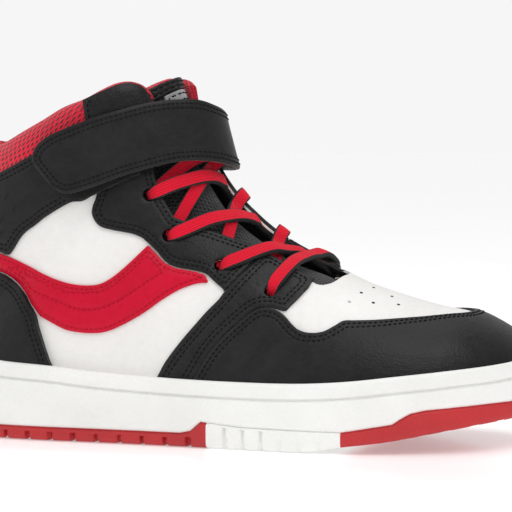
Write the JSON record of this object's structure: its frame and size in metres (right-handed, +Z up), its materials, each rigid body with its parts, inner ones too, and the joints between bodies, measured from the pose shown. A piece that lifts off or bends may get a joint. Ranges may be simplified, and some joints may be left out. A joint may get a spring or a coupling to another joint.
{
  "type": "basketball high top shoe",
  "caption": "Child's high top basketball shoe with cupsole, layered leather and mesh upper, elastic laces and a hook-and-loop ankle strap.",
  "frame": {"origin": "on the ground plane, under the centre of the shoe's bounding box", "axes": "+X towards the toe, +Y towards the inner (medial) side of the foot, +Z up, sole bottom at z = 0"},
  "size_m": [0.2147, 0.0852, 0.1254],
  "materials": {
    "white_rubber": "satin",
    "red_rubber": "satin",
    "eva_foam": "matte",
    "fibre_board": "matte",
    "liner_fabric": "matte",
    "white_leather": "satin",
    "black_leather": "satin",
    "crimson_leather": "satin",
    "red_mesh": "matte",
    "black_mesh": "matte",
    "polyurethane_foam": "matte",
    "stiffener_fibre": "matte",
    "lining_fabric": "matte",
    "elastic_webbing": "matte",
    "hook_tape": "matte",
    "loop_tape": "matte",
    "label_band": "satin"
  },
  "bodies": {
    "shoe": {"cupsole": "white_rubber", "outsole_heel_tread": "red_rubber", "outsole_toe_tread": "red_rubber", "midsole_foam": "eva_foam", "insole_board": "fibre_board", "sock_liner": "liner_fabric", "vamp": "white_leather", "quarter_lateral": "white_leather", "quarter_medial": "white_leather", "collar_mesh": "red_mesh", "collar_foam": "polyurethane_foam", "heel_stiffener": "stiffener_fibre", "toe_puff": "stiffener_fibre", "vamp_lining": "lining_fabric", "quarter_lining": "lining_fabric", "eyestay_lateral": "black_leather", "saddle_lateral": "black_leather", "side_stripe_lateral": "crimson_leather", "ankle_panel_lateral": "black_leather", "collar_pad_lateral": "black_leather", "eyestay_medial": "black_leather", "saddle_medial": "black_leather", "side_stripe_medial": "crimson_leather", "ankle_panel_medial": "black_leather", "collar_pad_medial": "black_leather", "heel_counter": "black_leather", "toe_cap": "black_leather", "heel_backstay": "black_leather", "elastic_lace": "elastic_webbing", "strap_anchor": "black_leather", "strap_loop_patch": "loop_tape"},
    "tongue": {"tongue_mesh": "black_mesh", "tongue_foam": "polyurethane_foam", "tongue_lining": "red_mesh", "tongue_patch": "black_leather", "tongue_label": "label_band"},
    "strap_mid": {"strap_band": "black_leather"},
    "strap_tip": {"strap_end": "black_leather", "strap_hook_patch": "hook_tape"}
  },
  "joints": [
    {"name": "strap_swing", "type": "hinge", "parent": "shoe", "child": "strap_mid", "pos_m": [-0.0254, 0.0265, 0.101], "axis": [-0.2415, -0.054, 0.9689], "range_deg": [0, 100]},
    {"name": "strap_peel", "type": "hinge", "parent": "strap_mid", "child": "strap_tip", "pos_m": [-0.0221, -0.0219, 0.106], "axis": [-0.4043, -0.1072, 0.9083], "range_deg": [0, 90]},
    {"name": "tongue_tilt", "type": "hinge", "parent": "shoe", "child": "tongue", "pos_m": [0.0435, -0.0008, 0.051], "axis": [0, 1, 0], "range_deg": [-18, 0]}
  ]
}
